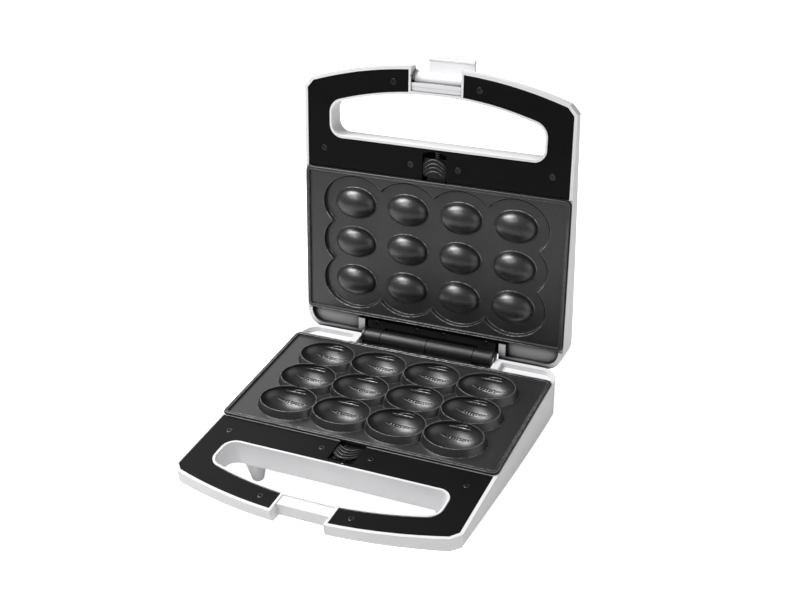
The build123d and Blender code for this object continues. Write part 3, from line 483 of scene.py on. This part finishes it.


# Lines on the cook plates and on the release buttons. Bright ones are painted glints along edges
# and ridges, dark ones are painted shade along grooves, gaps and the shaded sides of walls.

# Lines on the inside of every cup: the first, middle and last stop in mm from the cup's middle,
# then half the line's width and its rise, also in mm.
# Lower seam edge, wrinkles and stitches carry painted glints; the upper seam edge, the seam and the
# wrinkles' shade line are painted shade.
seam_lower = (((-15.0, 8.0), (-0.5, 8.0), (13.5, 8.5)), 0.30, 0.30)
seam_shade = (((-11.0, 8.5), (-1.0, 9.2), (10.0, 8.9)), 0.60, 0.18)
seam_upper_shade = (((-15.0, 8.0), (-1.5, 10.4), (13.5, 8.5)), 0.40, 0.30)
wrinkle = (((-10.0, 14.6), (-1.5, 15.9), (7.5, 15.2)), 0.42, 0.50)
wrinkle_short = (((-4.5, 16.1), (1.5, 16.7), (8.0, 15.8)), 0.34, 0.36)
wrinkle_shade = (((-11.0, 13.6), (-1.5, 15.0), (8.5, 14.3)), 0.50, 0.20)
line_count = 28

# Stitches across the seam, in mm. They get shorter towards the seam's ends.
stitches = 9
stitch_first_x = -9.2
stitch_pitch = 2.25
stitch_y = 9.1
stitch_lean = 0.5
stitch_reach = 1.2
stitch_fall = 0.28
stitch_size = (0.42, 0.50)
stitch_count = 8

# Half width and rise of the other beads.
bowl_shade_bead = (0.40 * mm, 0.70 * mm)
crest_bead = (0.26 * mm, 0.26 * mm)
cup_foot_bead = (0.22 * mm, 0.26 * mm)
web_bead = (0.32 * mm, 0.40 * mm)
base_rim_bead = (0.22 * mm, 0.16 * mm)
lid_rim_bead = (0.20 * mm, 0.16 * mm)
glint_bead = (0.30 * mm, 0.16 * mm)
rim_side_bead = (1.00 * mm, 0.22 * mm)
shade_bead = (0.45 * mm, 0.75 * mm)
dome_foot_bead = (0.60 * mm, 0.40 * mm)
dome_arc_bead = (0.26 * mm, 0.30 * mm)
recess_bead = (0.28 * mm, 0.30 * mm)
button_bead = (0.24 * mm, 0.24 * mm)

# Steps along an ellipse, in degrees, the fewest points that make a run, and how far inside a
# neighbour's ellipse a point is hidden.
arc_step = 5
run_step = 3
shortest_run = 4
hidden_below = 0.999


def ellipse_arc(centre, half_sizes, spread, first, last):
    """Plan points along an ellipse grown by a spread, from one turn to another, in degrees."""
    long, short = half_sizes[0] + spread, half_sizes[1] + spread
    turns = [math.radians(degrees) for degrees in range(first, last + 1, arc_step)]
    return [(centre[0] + long * math.cos(t), centre[1] + short * math.sin(t)) for t in turns]


def between_rows(x, y):
    """Whether a plan point lies within the block that the twelve middles span."""
    return abs(x) < middle_column * cup_pitch_x and abs(y - cup_centre_y) < middle_row * cup_pitch_y


def outer_runs(centre, half_sizes, spread, first, last, outside=False):
    """Runs of plan points along a grown ellipse that no neighbour's ellipse covers."""
    long, short = half_sizes[0] + spread, half_sizes[1] + spread
    others = [other for other in centres if other != centre]
    runs, run = [], []
    for degrees in range(first, last + 1, run_step):
        turn = math.radians(degrees)
        x, y = centre[0] + long * math.cos(turn), centre[1] + short * math.sin(turn)
        depths = [((x - a) / long) ** 2 + ((y - b) / short) ** 2 for a, b in others]
        hidden = min(depths) < hidden_below or (outside and between_rows(x, y))
        if not hidden:
            run.append((x, y))
        if run and (hidden or degrees + run_step > last):
            runs.append(run)
            run = []
    return [run for run in runs if len(run) >= shortest_run]


def rounded_frame(inset, least_radius=0.8 * mm, corner_steps=6):
    """Plan points of the plate's outline, moved inwards by an inset."""
    radius = max(plate_corner - inset, least_radius)
    across, along = plate_half[0] - inset - radius, plate_half[1] - inset - radius
    corners = ((across, along), (-across, along), (-across, -along), (across, -along))
    spots = []
    for quarter, (x, y) in enumerate(corners):
        for k in range(corner_steps + 1):
            turn = math.pi / 2 * (quarter + k / corner_steps)
            spots.append((x + radius * math.cos(turn), y + radius * math.sin(turn)))
    return spots


def add_plan_line(mesh, spots, height, place, bead, closed=False):
    """Bead that follows plan points at one height of the base or the lid."""
    points = [place(x, y, height) for x, y in spots]
    normal = place(0, 0, 1) - place(0, 0, 0)
    add_bead(mesh, points, [normal] * len(points), bead, closed=closed, sides=8)


def add_bowl_lines(mesh, side, stops, half_width, rise, count=line_count):
    """One line inside every cup, on its rear wall for side 1 and its front wall for side -1."""
    points, normals = bowl_line([(x * side * mm, y * side * mm) for x, y in stops], count)
    for x, y in centres:
        centre = Vector((x, y, crest_height))
        add_bead(mesh, [centre + point for point in points], normals, (half_width * mm, rise * mm))


def draw_cup_relief(mesh):
    """Seam edge, wrinkles and stitches that stand out in the cups, coloured as painted glints."""
    for side in (1, -1):
        for line in (seam_lower, wrinkle, wrinkle_short):
            add_bowl_lines(mesh, side, *line)
        for k in range(stitches):
            x = stitch_first_x + stitch_pitch * k
            reach = stitch_reach * math.cos((k - stitches // 2) * stitch_fall)
            low, high = (x - stitch_lean, stitch_y - reach), (x + stitch_lean, stitch_y + reach)
            add_bowl_lines(mesh, side, (low, (x, stitch_y), high), *stitch_size, stitch_count)


def draw_cup_shade_lines(mesh):
    """Painted shade: black lines beside the seam and the wrinkles, and under each cup's crest."""
    for side in (1, -1):
        for line in (seam_upper_shade, seam_shade, wrinkle_shade):
            add_bowl_lines(mesh, side, *line)
    for centre in centres:
        rim = ellipse_arc(centre, bowl, -0.45 * mm, 35, 225)
        add_plan_line(mesh, rim, crest - 1.1 * mm, base_point, bowl_shade_bead)


def draw_crest_lines(mesh):
    """Painted glints on the lit side of the cups' crests and feet, and down the webs between the
    columns.
    """
    for centre in centres:
        for run in outer_runs(centre, bowl, 0.25 * mm, 160, 318):
            add_plan_line(mesh, run, crest, base_point, crest_bead)
        for run in outer_runs(centre, bowl, cup_flare, 150, 390):
            add_plan_line(mesh, run, field_top, base_point, cup_foot_bead)
    web_top_y, web_foot_y, web_steps = 3.6 * mm, 9.1 * mm, 8
    for gap in range(columns - 1):
        x = (gap + 0.5 - middle_column) * cup_pitch_x
        for y in row_y:
            for side in (-1, 1):
                top = base_point(x, y + side * web_top_y, crest - 0.4 * mm)
                low = base_point(x, y + side * web_foot_y, field_top + 0.1 * mm)
                stops = [top.lerp(low, k / (web_steps - 1)) for k in range(web_steps)]
                facing = Vector((0, side, 0.6)).normalized()
                add_bead(mesh, stops, [facing] * web_steps, web_bead)


def draw_rim_lines(mesh, place, bead):
    """Painted glints along the outer and inner edge of a plate's rim."""
    for inset in (0.5 * mm, rim_width):
        add_plan_line(mesh, rounded_frame(inset), rim_top, place, bead, closed=True)


def draw_rear_glint(mesh, place):
    """Brighter rear stretch of both rim edges."""
    first_x, pitch, count = -0.1080, 0.0080, 28
    for inset in (0.6 * mm, rim_width):
        edge = [(first_x + pitch * k, plate_half[1] - inset) for k in range(count)]
        add_plan_line(mesh, edge, rim_top, place, glint_bead)


def draw_rim_sides(mesh, place):
    """Painted sheen on the top of the rim along the plate's two ends."""
    first_y, pitch, count = -0.0600, 0.0100, 13
    for side in (-1, 1):
        strip = [(side * (plate_half[0] - 1.45 * mm), first_y + pitch * k) for k in range(count)]
        add_plan_line(mesh, strip, rim_top - 0.12 * mm, place, rim_side_bead)


def draw_rim_shade_line(mesh, place):
    """Painted shade: a black line around the plate, just below the rim, where its gap lies in
    shadow.
    """
    add_plan_line(mesh, rounded_frame(0.1 * mm), rim_top - 0.9 * mm, place, shade_bead, closed=True)


def draw_dome_feet(mesh):
    """Soft fillet where each dome meets the floor of the recess."""
    for centre in centres:
        ring = ellipse_arc(centre, dome, 0.3 * mm, 0, 355)
        add_plan_line(mesh, ring, dome_floor, lid_point, dome_foot_bead, closed=True)


def draw_recess_lines(mesh):
    """Painted glints: arcs beside the domes, and the upper and lower edge of the scalloped recess.
    """
    for centre in centres:
        arc = ellipse_arc(centre, dome, 0.9 * mm, 175, 315)
        add_plan_line(mesh, arc, dome_floor + 0.1 * mm, lid_point, dome_arc_bead)
        for height, spread in ((field_top, scallop_flare), (dome_floor, 0.1 * mm)):
            for run in outer_runs(centre, scallop, spread, 25, 155, outside=True):
                add_plan_line(mesh, run, height, lid_point, recess_bead)


def draw_recess_shades(mesh):
    """Shade along the side of the recess that faces away from the light."""
    for centre in centres:
        for run in outer_runs(centre, scallop, 0.6 * mm, 160, 384, outside=True):
            add_plan_line(mesh, run, field_top - 0.5 * mm, lid_point, shade_bead)


def draw_button_arcs(mesh, place):
    """Painted glints on the tops of the ridges on a release button, bowed forwards in their middle.
    """
    ridges, pitch, half_length, bow, steps = 4, 3.2 * mm, 8.3 * mm, 4.2 * mm, 8
    shares = [j / steps - 1 for j in range(2 * steps + 1)]
    for k in range(ridges):
        ends_y = button_front + pitch * k
        arc = [(half_length * share, ends_y - bow * (1 - share ** 2)) for share in shares]
        add_plan_line(mesh, arc, button_top, place, button_bead)


def add_lines(name, body, material, draw, *details, slot="nonstick"):
    """New piece of lines on a body, drawn into its mesh by a function."""
    mesh = bmesh.new()
    draw(mesh, *details)
    finish_mesh(name, mesh, body, materials[material])


halves = (("base", base_point), ("lid", lid_point))

add_lines("cup_relief", "base_plate", "painted_glint", draw_cup_relief)
add_lines("cup_shade_lines", "base_plate", "painted_shade_black", draw_cup_shade_lines)
add_lines("crest_lines", "base_plate", "painted_glint_mid", draw_crest_lines)
add_lines("base_rim_lines", "base_plate", "painted_glint_mid", draw_rim_lines, base_point, base_rim_bead)
add_lines("lid_rim_lines", "lid_plate", "painted_glint_dim", draw_rim_lines, lid_point, lid_rim_bead)
for half, place in halves:
    add_lines(f"{half}_rear_glint", f"{half}_plate", "painted_glint", draw_rear_glint, place)
for half, place in halves:
    add_lines(f"{half}_rim_sides", f"{half}_plate", "painted_glint_dim", draw_rim_sides, place)
for half, place in halves:
    add_lines(f"{half}_rim_shade_line", f"{half}_plate", "painted_shade_black", draw_rim_shade_line, place)
add_lines("dome_feet", "lid_plate", "nonstick", draw_dome_feet)
add_lines("recess_lines", "lid_plate", "painted_glint", draw_recess_lines)
add_lines("recess_shades", "lid_plate", "painted_shade_black", draw_recess_shades)
for half, place in halves:
    arcs, button = f"{half}_button_arcs", f"{half}_button"
    add_lines(arcs, button, "painted_glint_mid", draw_button_arcs, place, slot="black_button")


# Floor, light and camera

floor_size = 8
floor_colour = (0.86, 0.86, 0.86, 1)
floor_glow = 0.84
world_light = 0.225
white = (1, 1, 1, 1)

# Lamps: name, place, point that it is aimed at, width, height and watts.
object_middle = (0, 0.03, 0.08)
softboxes = (
    ("overhead", (-0.57, 0.0, 1.05), object_middle, 0.5, 0.5, 14),
    ("key", (-0.46, -0.60, 1.0), (0, 0.12, 0.15), 0.45, 0.45, 4.5),
    ("fill_right", (1.9, -0.4, 0.9), object_middle, 2.4, 1.8, 12),
    ("back_left", (-0.95, 1.6, 1.0), object_middle, 1.6, 1.2, 5),
)

# The camera at the photograph's place, worked out from the object's own edges.
camera_place = (0.3815, -0.7424, 0.6239)
camera_azimuth = math.radians(26.2)
camera_elevation = math.radians(30.44)
camera_roll = math.radians(-3.86)
camera_lens = 57.63


def stage_floor():
    """Plain white floor that looks white to the camera and keeps the object's shadow."""
    bpy.ops.mesh.primitive_plane_add(size=floor_size)
    floor = bpy.context.object
    floor.name = "floor"
    material = bpy.data.materials.new("floor")
    material.use_nodes = True
    tree = material.node_tree
    shader = tree.nodes["Principled BSDF"]
    shader.inputs["Base Color"].default_value = floor_colour
    shader.inputs["Roughness"].default_value = 0.9
    shader.inputs["Specular IOR Level"].default_value = 0.0
    path = add_node(tree, "ShaderNodeLightPath")
    glow = add_range(tree, path.outputs["Is Camera Ray"], full_span, (0.0, floor_glow))
    tree.links.new(glow, shader.inputs["Emission Strength"])
    shader.inputs["Emission Color"].default_value = white
    floor.data.materials.append(material)


def light_world():
    """Even pale surroundings, white where the camera looks past the floor."""
    world = bpy.data.worlds.new("studio")
    bpy.context.scene.world = world
    world.use_nodes = True
    tree = world.node_tree
    back = tree.nodes["Background"]
    back.inputs["Color"].default_value = white
    path = add_node(tree, "ShaderNodeLightPath")
    strength = add_range(tree, path.outputs["Is Camera Ray"], full_span, (world_light, 1.0))
    tree.links.new(strength, back.inputs["Strength"])


def add_softbox(name, spot, target, width, height, power):
    """Rectangular area lamp at a spot, aimed at a target."""
    lamp = bpy.data.lights.new(name, "AREA")
    lamp.shape = "RECTANGLE"
    lamp.size = width
    lamp.size_y = height
    lamp.energy = power
    holder = bpy.data.objects.new(name, lamp)
    bpy.context.scene.collection.objects.link(holder)
    holder.location = spot
    holder.rotation_mode = "QUATERNION"
    holder.rotation_quaternion = (Vector(target) - Vector(spot)).to_track_quat("-Z", "Y")


def place_camera():
    """Camera at the photograph's place, turned by its azimuth, elevation and roll."""
    level = math.cos(camera_elevation)
    back = Vector(
        (
            math.sin(camera_azimuth) * level,
            -math.cos(camera_azimuth) * level,
            math.sin(camera_elevation),
        )
    )
    right = Vector((math.cos(camera_azimuth), math.sin(camera_azimuth), 0))
    up = back.cross(right)
    rolled_right = right * math.cos(camera_roll) + up * math.sin(camera_roll)
    rolled_up = up * math.cos(camera_roll) - right * math.sin(camera_roll)
    data = bpy.data.cameras.new("camera")
    data.sensor_width = 36
    data.lens = camera_lens
    data.clip_start = 0.01
    data.clip_end = 50
    camera = bpy.data.objects.new("camera", data)
    bpy.context.scene.collection.objects.link(camera)
    turn = Matrix((rolled_right, rolled_up, back)).transposed()
    camera.matrix_world = Matrix.Translation(camera_place) @ turn.to_4x4()
    bpy.context.scene.camera = camera


stage_floor()
light_world()
for softbox in softboxes:
    add_softbox(*softbox)
place_camera()
bpy.context.scene.view_settings.view_transform = "Standard"
